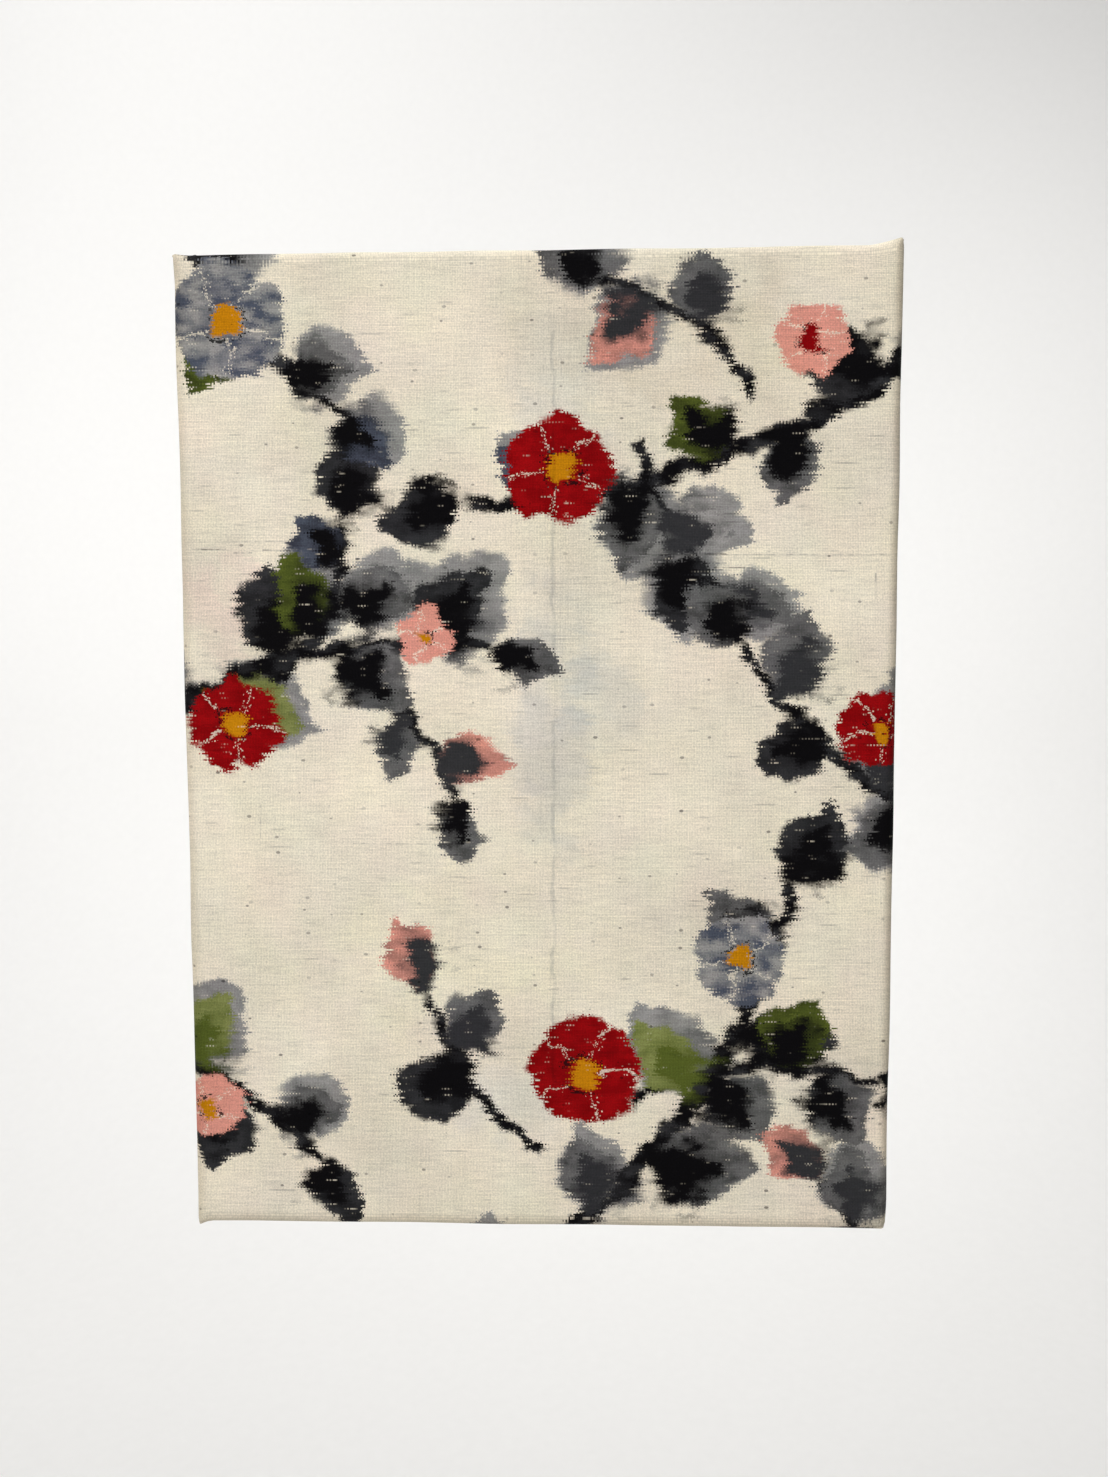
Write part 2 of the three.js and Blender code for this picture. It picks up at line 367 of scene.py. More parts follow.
# Old marks in the undyed cloth: stains and dark hairs among the threads. The creases are troughs
# in the front, with painted shade along them
STAINS = rows("place size turn colour strength", [
    ((-101, 50), (44, 40), 0, (224, 200, 188), 0.5),
    ((96, -118), (70, 46), 10, (226, 208, 194), 0.24),
    ((5, 12), (28, 104), -2, (170, 173, 174), 0.4),
    ((18, 22), (34, 46), 24, (176, 182, 182), 0.28),
    ((-6, -122), (52, 30), 8, (186, 188, 190), 0.26),
    ((-30, -70), (110, 60), 15, (230, 222, 196), 0.5),
    ((10, 126), (34, 62), 0, (186, 190, 190), 0.26),
    ((44, 138), (104, 46), -3, (204, 190, 164), 0.34),
])
CREASES = rows("start end depth width strength", [
    ((6.1, 149), (5.4, -124), 0.22, 1.8, 0.32),
    ((-24, -102.9), (121, -108.7), 0.14, 1.4, 0.22),
    ((0, -125), (22, -126), 0.10, 1.0, 0.14),
    ((-40, 118), (34, 113), 0.08, 1.6, 0.06),
    ((100, 150.5), (121, 151.5), 0.12, 1.0, 0.16),
])
HAIRS = rows("start end width strength", [
    ((-117.6, 69.7), (-106, 69.7), 0.36, 0.7),
    ((-103.4, 68.5), (-97, 68.5), 0.3, 0.5),
    ((-93.4, 69.4), (-84, 69.2), 0.32, 0.55),
    ((-120.6, 72.2), (-84, 72.3), 0.24, 0.22),
    ((35, 67.2), (119, 66.5), 0.3, 0.42),
    ((56, 67.3), (64.2, 67.2), 0.32, 0.5),
    ((60, 62.6), (70.6, 62.6), 0.32, 0.6),
    ((-96, -18), (-96.2, -30), 0.26, 0.3),
    ((-30, 57.7), (24, 57.5), 0.26, 0.25),
    ((47.6, 54.2), (52.6, 54.2), 0.32, 0.5),
    ((114.2, 60.6), (114.4, 52), 0.36, 0.5),
    ((-64, -31.5), (-38, -31.7), 0.26, 0.3),
    ((-58, 122), (-57.6, 110), 0.26, 0.3),
])


def unit(angle):
    return Vector((math.cos(angle), math.sin(angle)))


class Stroke:
    """A bowed brush stroke, worked out from its chord."""

    def __init__(self, start, end, bow):
        start, end = Vector(start), Vector(end)
        self.middle = (start + end) / 2
        self.half = (end - start).length / 2
        self.turn = math.atan2(end.y - start.y, end.x - start.x)
        self.bow = bow

    def at(self, share):
        """The place at a share of the stroke's length, and the way it runs there."""
        reach = 2 * share - 1
        along = reach * self.half * unit(self.turn)
        across = self.bow * (1 - reach**2) * unit(self.turn + math.pi / 2)
        slope = -2 * self.bow * reach / self.half
        return self.middle + along + across, self.turn + math.atan(slope)


DYE_REACH = 9.5  # how far past its own outline a shape's dye may stray
STROKE_REACH = 13.5  # the same, from a stroke's middle line
STROKE_SPOTS = 40  # along a stroke, at which its reach is measured


def shape(group, place, turn, sizes, stroke=None, **settings):
    """A shape for one of the node groups. along and across are the rows that take a place
    (x, z, 1) on the cloth to the shape's own axes, in its sizes, and its dye comes no further
    than reach from its spots."""
    place = Vector(place)
    spots, reach = [place], max(sizes) + DYE_REACH
    if stroke:
        spots = [stroke.at(i / STROKE_SPOTS)[0] for i in range(STROKE_SPOTS + 1)]
        reach = STROKE_REACH
    for name, size, corner in zip(("along", "across"), sizes, (0, math.pi / 2)):
        way = unit(turn + corner)
        settings[name] = (way.x / size, way.y / size, -way.dot(place) / size)
    return dict(group=group, spots=spots, reach=reach, settings=settings)


def leaf_shape(place, size, plump, turn, inks):
    rim, core = (INKS[ink] for ink in inks)
    return shape("leaf", place, turn, (size / 2, plump * size / 2), rim=rim, core=core)


def leaf_shapes(row, stroke, chance, first_ink):
    """The leaves of one branch and the washes behind some of them."""
    leaves, washes = [], []
    for i in range(row["leaves"]):
        share = row["first"] + (1 - row["first"]) * i / (row["leaves"] - 1)
        root, way = stroke.at(share)
        lean = math.radians(chance.uniform(*LEAN_ANGLES)) * row["side"] * (-1) ** i
        if i == row["leaves"] - 1:
            lean *= TIP_LEAN
        size = row["leaf"] * chance.uniform(*LEAF_SIZES) * (1 - LEAF_SHRINK * share)
        place = root + LEAF_STAND * size * unit(way + lean)
        plump = chance.uniform(*LEAF_PLUMPNESS)
        if chance.random() < WASH_SHARE:
            middle = place + Vector([chance.uniform(*shift) for shift in WASH_SHIFTS])
            fat = WASH_PLUMPNESS * plump
            washes.append(leaf_shape(middle, WASH_SIZE * size, fat, way + lean, ("mist", "grey")))
        inks = LEAF_INKS[(first_ink + i) % len(LEAF_INKS)]
        leaves.append(leaf_shape(place, size, plump, way + lean, inks))
    return leaves, washes


def stroke_shape(row, stroke):
    wide, narrow = row["wide"] / 4, row["narrow"] / 4
    return shape(
        "stroke", stroke.middle, stroke.turn, (stroke.half, 1.0), stroke,
        bow=stroke.bow, width=narrow + wide, taper=narrow - wide, half=stroke.half,
    )


def flower_shape(row):
    radius = row["size"] / 2
    inks = {part: INKS[row[part]] for part in ("low", "high", "heart")}
    turn = math.radians(row["turn"])
    return shape("flower", row["place"], turn, (radius, radius), soft=DYE_BLUR / radius, **inks)


def stain_shape(row):
    sizes = [size / 2 for size in row["size"]]
    return shape(
        "stain", row["place"], math.radians(row["turn"]), sizes,
        tint=srgb(*row["colour"]), strength=row["strength"],
    )


def line_shape(row, group):
    """A crease or a hair: a line from start to end, as wide as it says."""
    line = Stroke(row["start"], row["end"], 0)
    sizes = (line.half, row["width"])
    return shape(group, line.middle, line.turn, sizes, line, strength=row["strength"])


def design_shapes():
    """All that is dyed on the cloth or marks it, in the order in which it is painted."""
    chance = random.Random(DESIGN_SEED)
    strokes, leaves, washes = [], [], []
    for row in BRANCHES:
        stroke = Stroke(row["start"], row["end"], row["bow"])
        strokes.append(stroke_shape(row, stroke))
        more_leaves, more_washes = leaf_shapes(row, stroke, chance, len(leaves))
        leaves += more_leaves
        washes += more_washes
    flowers = [flower_shape(row) for row in FLOWERS]
    stains = [stain_shape(row) for row in STAINS]
    creases = [line_shape(row, "crease") for row in CREASES]
    hairs = [line_shape(row, "hair") for row in HAIRS]
    return stains + washes + strokes + leaves + flowers + creases + hairs


# The threads, and how far the dye strays along them, in millimetres
THREAD_PITCH = 0.55
FLOAT_SHARE = 0.16  # of the crossings, those that show the weft out of turn
WEFT_STRAY = 7.0
WARP_STRAY = 3.6
BAND_STRAY = 1.75  # what wefts that lie together share
BAND_SCALE = (1 / 60, 1 / 1.7, 0)
HAND_WAVER = 8.0
WAVER_SIZE = 10.0
TONE_SCALE = (1 / 7, 1 / 5, 0)
TONE_CONTRAST = 3.0

# Noise along the threads: how long its patches are, and where the first thread's row lies
ROW_STEP = 0.737  # from one thread's row to the next one's
THREAD_NOISES = {
    "stray": (38.0, 0.31),
    "undyed": (7.0, 0.63),
    "weft_shade": (9.0, 0.2),
    "warp_shade": (14.0, 0.2),
    "dark_weft": (12.0, 0.8),
}


def thread_noise(nodes, name, along, thread, upright=False):
    """Noise along every thread, from its own row."""
    length, start = THREAD_NOISES[name]
    place = (nodes.times(along, 1 / length), nodes.scaled(thread, ROW_STEP, start))
    return nodes.noise(nodes.combine(*reversed(place)) if upright else nodes.combine(*place))


def build_threads(nodes, uv):
    """Where a point lies among the threads, and where the dye that reached it was painted."""
    place = nodes.vector("MULTIPLY", uv, (1 / MM, 1 / MM, 0))
    x, z, _ = nodes.add("SeparateXYZ", (place,)).outputs
    warp = nodes.math("FLOOR", nodes.times(x, 1 / THREAD_PITCH))
    weft = nodes.math("FLOOR", nodes.times(z, 1 / THREAD_PITCH))
    parity = nodes.math("FRACT", nodes.times(nodes.plus(warp, weft), 0.5))
    crossing = {"Vector": nodes.combine(warp, weft)}
    chance = nodes.add("TexWhiteNoise", crossing, noise_dimensions="2D").outputs[0]
    floats = nodes.math("LESS_THAN", chance, FLOAT_SHARE)
    in_turn = nodes.math("LESS_THAN", parity, 0.25)  # the parity is nothing or a half
    weft_shows = nodes.math("MAXIMUM", in_turn, floats)

    stray_x = nodes.centred(thread_noise(nodes, "stray", x, weft), WEFT_STRAY)
    bands = nodes.noise(nodes.vector("MULTIPLY", place, BAND_SCALE))
    stray_x = nodes.times(nodes.plus(stray_x, nodes.centred(bands, BAND_STRAY)), weft_shows)
    stray_z = nodes.centred(thread_noise(nodes, "stray", z, warp, upright=True), WARP_STRAY)
    stray_z = nodes.times(stray_z, nodes.minus(1.0, weft_shows))
    strayed = nodes.vector("ADD", place, nodes.combine(stray_x, stray_z))
    waver = nodes.noise(strayed, detail=1.0, output="Color", scale=1 / WAVER_SIZE)
    waver = nodes.add("SeparateColor", (waver,)).outputs
    waver = [nodes.centred(waver[axis], HAND_WAVER) for axis in (0, 1)]
    dyed = nodes.vector("ADD", strayed, nodes.combine(*waver, 1.0))
    tone = nodes.noise(nodes.vector("MULTIPLY", strayed, TONE_SCALE), detail=1.0)
    tone = nodes.scaled(tone, TONE_CONTRAST, (1 - TONE_CONTRAST) / 2)
    return dyed, tone, x, z, weft, warp, weft_shows


# A leaf, in halves of its length
LEAF_TAPER = 0.3
LEAF_EDGE = (0.87, 1.08)
CORE_SHIFT = (0.7, 0.35)  # towards the stalk and to one side
CORE_EDGE = (0.4, 0.85)
CORE_STREAKS = 0.3
RIM_STREAKS = 0.45  # how far the core's ink runs into the rim in places


def build_leaf(nodes, colour, dyed, tone, along, across, rim, core):
    """A leaf with a paler rim and a soft dark core near its stalk."""
    along, across = nodes.shape_axes(dyed, along, across)
    across = nodes.times(across, nodes.scaled(along, LEAF_TAPER, 1.0))
    distance = nodes.scaled(along, along, nodes.size(across))
    rim = nodes.mix(nodes.times(tone, RIM_STREAKS), rim, core)
    colour = nodes.mix(nodes.fade(distance, LEAF_EDGE), colour, rim)
    distance = nodes.scaled(along, CORE_SHIFT[0], distance)
    distance = nodes.scaled(across, CORE_SHIFT[1], distance)
    distance = nodes.scaled(tone, CORE_STREAKS, distance)
    return (nodes.mix(nodes.fade(distance, CORE_EDGE), colour, core),)


STROKE_EDGE = (-0.9, 1.2)  # in millimetres past the outline
STROKE_STREAKS = (0.8, -0.2)  # how the tone turns its ink from black to charcoal


def build_stroke(nodes, colour, dyed, tone, along, across, bow, width, taper, half):
    along, across = nodes.shape_axes(dyed, along, across)
    square = nodes.times(along, along)
    across = nodes.minus(nodes.scaled(square, bow, across), bow)
    beside = nodes.minus(nodes.size(across), nodes.scaled(along, taper, width))
    past_end = nodes.times(nodes.minus(square, 1.0), nodes.times(half, 0.5))
    cover = nodes.fade(nodes.math("MAXIMUM", beside, past_end), STROKE_EDGE)
    ink = nodes.mix(nodes.scaled(tone, *STROKE_STREAKS), INKS["black"], INKS["charcoal"])
    return (nodes.mix(cover, colour, ink),)


# A flower, in shares of its radius. A band is its middle and how far it reaches from there,
# and the spans of its edges are in shares of soft.
PETALS = 5
PETAL_NOTCH = 0.10
PETAL_POINT = 0.6  # under 1, the petals are blunter
FLOWER_EDGE = (-1.0, 1.0)
GAP_EDGE = (0.6, 1.6)
GAP_BAND = (0.6, 0.28)
GAP_STRENGTH = 0.7
HEART_RADIUS = 0.26
RING_BAND = (0.34, 0.03)
RING_TONES = (0.4, 0.6)
RING_STRENGTH = 0.9


def build_flower(nodes, colour, dyed, tone, along, across, low, high, heart, soft):
    """Petals with pale lines between them, round a heart in a broken black ring."""
    along, across = nodes.shape_axes(dyed, along, across)
    distance = nodes.math("SQRT", nodes.scaled(along, along, nodes.times(across, across)))
    angle = nodes.math("ARCTAN2", across, along)
    petal = nodes.size(nodes.math("COSINE", nodes.times(angle, PETALS / 2)))
    edge = nodes.scaled(nodes.math("POWER", petal, PETAL_POINT), PETAL_NOTCH, 1 - PETAL_NOTCH)
    past = nodes.over(nodes.minus(distance, edge), soft)
    colour = nodes.mix(nodes.fade(past, FLOWER_EDGE), colour, nodes.mix(tone, low, high))
    gap = nodes.ramp(nodes.over(nodes.times(petal, distance), soft), GAP_EDGE, GAP_STRENGTH, 0.0)
    gap = nodes.times(gap, nodes.math("COMPARE", distance, *GAP_BAND))
    colour = nodes.mix(gap, colour, INKS["ground"])
    past = nodes.over(nodes.minus(distance, HEART_RADIUS), soft)
    colour = nodes.mix(nodes.fade(past, FLOWER_EDGE), colour, heart)
    ring = nodes.math("COMPARE", distance, *RING_BAND)
    ring = nodes.times(ring, nodes.ramp(tone, RING_TONES, 0.0, RING_STRENGTH))
    return (nodes.mix(ring, colour, INKS["black"]),)


STAIN_EDGE = (0.0, 1.3)
STAIN_CLOUD_SIZE = 14.0
STAIN_RAGGEDNESS = 3.0


def build_stain(nodes, colour, dyed, tone, along, across, tint, strength):
    along, across = nodes.shape_axes(dyed, along, across)
    distance = nodes.scaled(along, along, nodes.times(across, across))
    cloudy = nodes.noise(dyed, detail=2.0, scale=1 / STAIN_CLOUD_SIZE)
    distance = nodes.minus(distance, nodes.centred(cloudy, STAIN_RAGGEDNESS))
    return (nodes.mix(nodes.times(nodes.fade(distance, STAIN_EDGE), strength), colour, tint),)


def line_builder(shade, size, detail, stray, edge, end, breaks, faintest):
    """The node builder of a line that comes and goes with a noise of this size. edge is where
    it ends to the sides, in widths, and end lengthwise. breaks is where the noise turns it from
    its faintest to its full strength, and stray is how far the noise moves it, in widths."""
    def build(nodes, colour, place, tone, along, across, strength):
        uneven = nodes.noise(place, detail=detail, scale=1 / size)
        along, across = nodes.shape_axes(place, along, across)
        across = nodes.plus(across, nodes.centred(uneven, stray))
        inside = nodes.fade(nodes.size(across), edge)
        inside = nodes.times(inside, nodes.fade(nodes.size(along), end))
        broken = nodes.times(nodes.ramp(uneven, breaks, faintest, 1.0), strength)
        return (nodes.shaded(nodes.times(inside, broken), colour, shade),)

    return build


HAIR_SHADE = (0.13, 0.12, 0.12, 1.0)
# A crease is darkened along its length with painted shade
build_crease = line_builder(
    shade=(0.37, 0.40, 0.42, 1.0), size=9.0, detail=2.0, stray=1.6,
    edge=(0.1, 0.55), end=(0.93, 1.0), breaks=(0.3, 0.6), faintest=0.35,
)
build_hair = line_builder(
    shade=HAIR_SHADE, size=3.5, detail=1.0, stray=0.0,
    edge=(0.5, 1.0), end=(0.999, 1.0), breaks=(0.4, 0.6), faintest=0.3,
)

# What the weave and age do to the dyed colour, and where shade is painted into it. A span is the
# part of a noise in which a mark comes up, a size is that of its patches in millimetres, and a
# spread is how far a shade swings.
UNDYED_SPAN = (0.78, 0.92)
UNDYED_STRENGTH = 0.5
TINT_SIZE = 26.0
TINT_SPREAD = 0.075
# Painted shade that darkens the cloth towards its side and bottom edges: its colour, strength and
# rise
EDGE_PAINTED_SHADE_COLOUR = (0.52, 0.48, 0.42, 1.0)
EDGE_PAINTED_SHADE_STRENGTH = 0.4
EDGE_PAINTED_SHADE_RISE = (-1.5, 2.0)  # from none to full painted shade, in millimetres past the flat front's edge
CLOUD_SIZE = 42.0
CLOUD_SPREAD = 0.36
GRAIN_SIZE = 0.6
GRAIN_SPREAD = 0.5
GRAIN_HEIGHT = 1.2  # to a thread's
WEFT_SHADE_SPREAD = 0.2
WARP_SHADE_SPREAD = 0.1
CROSSING_PAINTED_SHADE = (0.32, 0.835)  # painted shade of a round crossing: how much lighter its middle is, and its rim's shade
DARK_WEFT_SPAN = (0.79, 0.93)
DARK_WEFT_STRENGTH = 0.3
SPECK_CELL = 8.0
SPECK_RADIUS = 0.75
SPECK_BLUR = 0.3
SPECK_STRETCH = (0.8, 1.2, 0.0)  # makes the specks a little wider than high
SPECK_CHANCE = (0.55, 1.0)
SPECK_STRENGTH = (0.6, 0.2)  # by chance, and at least


def build_finish(nodes, colour, place, x, z, weft, warp, weft_shows):
    """What the weave does to the dyed colour, with painted shade, and the weave's height for the
    bump.
    """
    # Wefts that took no dye for a stretch
    undyed = thread_noise(nodes, "undyed", x, weft)
    undyed = nodes.ramp(undyed, UNDYED_SPAN, 0.0, UNDYED_STRENGTH)
    colour = nodes.mix(nodes.times(undyed, weft_shows), colour, INKS["ground"])

    # Age has tinted the cloth in soft patches
    tint = nodes.noise(place, detail=2.0, output="Color", scale=1 / TINT_SIZE)
    tint = nodes.vector("MULTIPLY_ADD", tint, (TINT_SPREAD,) * 3, (1 - TINT_SPREAD / 2,) * 3)
    colour = nodes.shaded(1.0, colour, tint)

    # Painted shade along the folded edges at the sides and the bottom; the top edge, lit from
    # above, gets none
    beyond_side = nodes.minus(nodes.size(x), FLAT_WIDTH)
    beyond = nodes.math("MAXIMUM", beyond_side, nodes.scaled(z, -1.0, -FLAT_HEIGHT))
    edge_painted_shade = nodes.ramp(beyond, EDGE_PAINTED_SHADE_RISE, 0.0, EDGE_PAINTED_SHADE_STRENGTH)
    colour = nodes.shaded(edge_painted_shade, colour, EDGE_PAINTED_SHADE_COLOUR)

    # Mottling of the whole cloth, and each thread's own shade
    cloud = nodes.noise(place, detail=5.0, scale=1 / CLOUD_SIZE)
    grain = nodes.noise(place, detail=1.0, scale=1 / GRAIN_SIZE)
    weft_shade = thread_noise(nodes, "weft_shade", x, weft)
    warp_shade = thread_noise(nodes, "warp_shade", z, warp, upright=True)
    shade = nodes.centred(cloud, CLOUD_SPREAD)
    shade = nodes.plus(shade, nodes.centred(grain, GRAIN_SPREAD))
    shade = nodes.plus(shade, nodes.centred(weft_shade, WEFT_SHADE_SPREAD))
    shade = nodes.plus(shade, nodes.centred(warp_shade, WARP_SHADE_SPREAD))

    # The roundness of the threads: their height for the bump, and painted shade, lighter in the
    # middle of each crossing and darker at its rim
    turns = [nodes.math("FRACT", nodes.times(way, 1 / THREAD_PITCH)) for way in (x, z)]
    warp_bulge, weft_bulge = [nodes.math("SINE", nodes.times(turn, math.pi)) for turn in turns]
    heights = {0: weft_shows, 2: warp_bulge, 3: weft_bulge}
    height = nodes.add("Mix", heights, data_type="FLOAT").outputs[0]
    # Painted shade: lighter in each crossing's middle, darker at its rim
    crossing = nodes.scaled(nodes.times(warp_bulge, weft_bulge), *CROSSING_PAINTED_SHADE)
    shade = nodes.plus(shade, crossing)
    colour = nodes.shaded(1.0, colour, nodes.combine(shade, shade, shade))

    # Darker lengths of weft, and dark specks spun into the threads
    dark_weft = thread_noise(nodes, "dark_weft", x, weft)
    dark_weft = nodes.ramp(dark_weft, DARK_WEFT_SPAN, 0.0, DARK_WEFT_STRENGTH)
    stretched = nodes.vector("MULTIPLY", place, SPECK_STRETCH)
    inputs = {"Vector": stretched, "Scale": 1 / SPECK_CELL}
    spots = nodes.add("TexVoronoi", inputs, voronoi_dimensions="2D").outputs
    chance = nodes.add("SeparateColor", (spots["Color"],)).outputs
    size = nodes.ramp(chance[0], SPECK_CHANCE, 0.0, SPECK_RADIUS / SPECK_CELL)
    speck = nodes.over(nodes.minus(spots["Distance"], size), SPECK_BLUR / SPECK_CELL)
    speck = nodes.times(nodes.fade(speck, (-1.0, 0.0)), nodes.scaled(chance[1], *SPECK_STRENGTH))
    colour = nodes.shaded(nodes.math("MAXIMUM", dark_weft, speck), colour, HAIR_SHADE)
    return colour, nodes.plus(height, nodes.times(grain, GRAIN_HEIGHT))


# The node groups that the cloth's materials share, with their inputs and outputs
THREADS = "x:value z:value weft:value warp:value weft_shows:value"
PAINT = "colour:colour dyed:place tone:value along:place across:place "
COLOUR = "colour:colour"
GROUPS = rows("name inputs outputs build", [
    ("threads", "uv:place", "dyed:place tone:value " + THREADS, build_threads),
    ("leaf", PAINT + "rim:colour core:colour", COLOUR, build_leaf),
    ("stroke", PAINT + "bow:value width:value taper:value half:value", COLOUR, build_stroke),
    ("flower", PAINT + "low:colour high:colour heart:colour soft:value", COLOUR, build_flower),
    ("stain", PAINT + "tint:colour strength:value", COLOUR, build_stain),
    ("crease", PAINT + "strength:value", COLOUR, build_crease),
    ("hair", PAINT + "strength:value", COLOUR, build_hair),
    ("finish", "colour:colour place:place " + THREADS, COLOUR + " height:value", build_finish),
])


# The cloth is dyed in patches, each with a material that holds only the shapes near it
PATCHES_ACROSS = 4
PATCHES_UP = 6


def patch_edges(half, count):
    """The inner and outer edges of the patches, across or up the cloth."""
    inner = [-half + 2 * half * i / count for i in range(1, count)]
    return [-math.inf] + inner + [math.inf]


PATCH_X = patch_edges(HALF_WIDTH, PATCHES_ACROSS)
PATCH_Z = patch_edges(HALF_HEIGHT, PATCHES_UP)


def patch_of(x, z):
    column = sum(x >= edge for edge in PATCH_X[1:-1])
    row = sum(z >= edge for edge in PATCH_Z[1:-1])
    return row * PATCHES_ACROSS + column


def touches(item, low_x, high_x, low_z, high_z):
    """Whether a shape's dye may reach a patch."""
    reach = item["reach"]
    return any(
        low_x - reach < spot.x < high_x + reach and low_z - reach < spot.y < high_z + reach
        for spot in item["spots"]
    )


CLOTH_SETTINGS = {
    "Roughness": 0.95,
    "Specular IOR Level": 0.06,
    "Sheen Weight": 0.02,
    "Sheen Roughness": 0.5,
}


def patch_material(index, shapes, groups):
    material, nodes, shader = make_material(f"ikat_cloth_{index}", CLOTH_SETTINGS)
    uv = nodes.add("UVMap", uv_map="cloth_place").outputs[0]
    threads = nodes.use(groups["threads"], uv=uv)
    place = nodes.combine(threads["x"], threads["z"], 1.0)
    colour = INKS["ground"]
    for item in shapes:
        dyed = place if item["group"] in ("crease", "hair") else threads["dyed"]
        settings = dict(item["settings"], colour=colour, dyed=dyed, tone=threads["tone"])
        colour = nodes.use(groups[item["group"]], **settings)[0]
    given = {name: threads[name] for name in ("x", "z", "weft", "warp", "weft_shows")}
    finish = nodes.use(groups["finish"], colour=colour, place=place, **given)
    bump = nodes.add("Bump", {"Strength": 0.35, "Distance": 0.12 * MM, "Height": finish["height"]})
    nodes.feed(shader.inputs["Base Color"], finish["colour"])
    nodes.feed(shader.inputs["Normal"], bump.outputs[0])
    return material


def cloth_materials():
    groups = {row["name"]: make_group(**row) for row in GROUPS}
    shapes = design_shapes()
    made = []
    for row in range(PATCHES_UP):
        for column in range(PATCHES_ACROSS):
            edges = (*PATCH_X[column:column + 2], *PATCH_Z[row:row + 2])
            near = [item for item in shapes if touches(item, *edges)]
            made.append(patch_material(len(made), near, groups))
    return made


# Wood
GRAIN_STRETCH = 0.06  # the scale along the grain, to that across it
RING_COUNT = 52.0
RING_HEIGHT = 0.4  # to the fibres'
FIBRE_SPAN = (0.42, 0.62)
FIBRE_STRENGTH = 0.35


def wood_material(name, grain_axis):
    """Pale softwood with its grain along one axis."""
    settings = {"Roughness": 0.62, "Specular IOR Level": 0.35}
    material, nodes, shader = make_material(name, settings)
    place = nodes.add("TexCoord").outputs["Object"]
    squeeze = [1.0, 1.0, 1.0]
    squeeze[grain_axis] = GRAIN_STRETCH
    stretched = nodes.vector("MULTIPLY", place, squeeze)
    warped = nodes.noise(stretched, detail=2.0, scale=70.0, dimensions="3D")
    rings = nodes.ramp(nodes.math("SINE", nodes.times(warped, RING_COUNT)), (-1.0, 1.0))
    fibres = nodes.noise(stretched, detail=4.0, scale=1400.0, dimensions="3D")
    colour = nodes.mix(rings, srgb(214, 184, 142), srgb(196, 160, 114))
    dark = nodes.ramp(fibres, FIBRE_SPAN, 0.0, FIBRE_STRENGTH)
    colour = nodes.mix(dark, colour, srgb(168, 130, 88))
    nodes.feed(shader.inputs["Base Color"], colour)
    height = nodes.plus(fibres, nodes.times(rings, RING_HEIGHT))
    bump = nodes.add("Bump", {"Strength": 0.3, "Distance": 0.15 * MM, "Height": height})
    nodes.feed(shader.inputs["Normal"], bump.outputs[0])
    return material


def finish_bars():
    level = wood_material("softwood_level", grain_axis=0)
    upright = wood_material("softwood_upright", grain_axis=2)
    for bar in BARS:
        wood = level if bar in ("bar_top", "bar_bottom") else upright
        for slot in bpy.data.objects[bar].material_slots:
            slot.material = wood


# How finely the cloth is divided, in millimetres or steps
CELL = 2.0
FINE_STEPS = (0.0, 0.5, 1.0, 1.8, 3.0)  # from the edge of the flat front
ARC_STEPS = 6
SIDE_STEPS = 5
MARGIN_STEPS = 8


def spread(length, near, cells):
    """Steps from nothing to a length, which start and end with the near ones."""
    first = near[-1]
    even = [first + (length - 2 * first) * i / cells for i in range(1, cells)]
    return [*near, *even, *(length - step for step in reversed(near))]


def grid_lines(half):
    cells = round(2 * (half - FINE_STEPS[-1]) / CELL)
    return [step - half for step in spread(2 * half, FINE_STEPS, cells)]


ACROSS = grid_lines(FLAT_WIDTH)
UPWARD = grid_lines(FLAT_HEIGHT)
QUARTER = EDGE_RADIUS * math.pi / 2  # the length of cloth round an edge
SIDE = 2 * (HALF_DEPTH - EDGE_RADIUS)
TURNED = MARGIN_WIDTH - EDGE_RADIUS
CLOTH_REACH = 2 * QUARTER + SIDE + TURNED  # from the edge of the flat front to the cut edge


def section_at(run):
    """The section of the cloth's outside, a run of it from the flat front's edge: depth from
    the panel's front, inset from its outline, and the way out along (Y, up)."""
    if run < QUARTER:
        angle = run / EDGE_RADIUS
        sine, cosine = math.sin(angle), math.cos(angle)
        return EDGE_RADIUS * (1 - cosine), EDGE_RADIUS * (1 - sine), (-cosine, sine)
    if run < QUARTER + SIDE:
        return EDGE_RADIUS + run - QUARTER, 0.0, (0.0, 1.0)
    if run < 2 * QUARTER + SIDE:
        angle = (run - QUARTER - SIDE) / EDGE_RADIUS
        sine, cosine = math.sin(angle), math.cos(angle)
        depth = 2 * HALF_DEPTH - EDGE_RADIUS * (1 - sine)
        return depth, EDGE_RADIUS * (1 - cosine), (sine, cosine)
    along = run - 2 * QUARTER - SIDE
    sink = MARGIN_SINK * min(1.0, 2 * along / TURNED)
    return 2 * HALF_DEPTH - sink, EDGE_RADIUS + along, (1.0, 0.0)


def section(depth):
    """Points of the section that lie this deep in the cloth, from the flat front to the cut
    edge, as (inset from the outline, Y, run)."""
    runs = [
        start + length * i / steps
        for start, length, steps in (
            (0, QUARTER, ARC_STEPS),
            (QUARTER, SIDE, SIDE_STEPS),
            (QUARTER + SIDE, QUARTER, ARC_STEPS),
            (2 * QUARTER + SIDE, TURNED, MARGIN_STEPS),
        )
        for i in range(steps)
    ]
    made = []
    for run in runs + [CLOTH_REACH]:
        back, inset, (out_y, out_up) = section_at(run)
        made.append((inset + depth * out_up, back - HALF_DEPTH - depth * out_y, run))
    return made


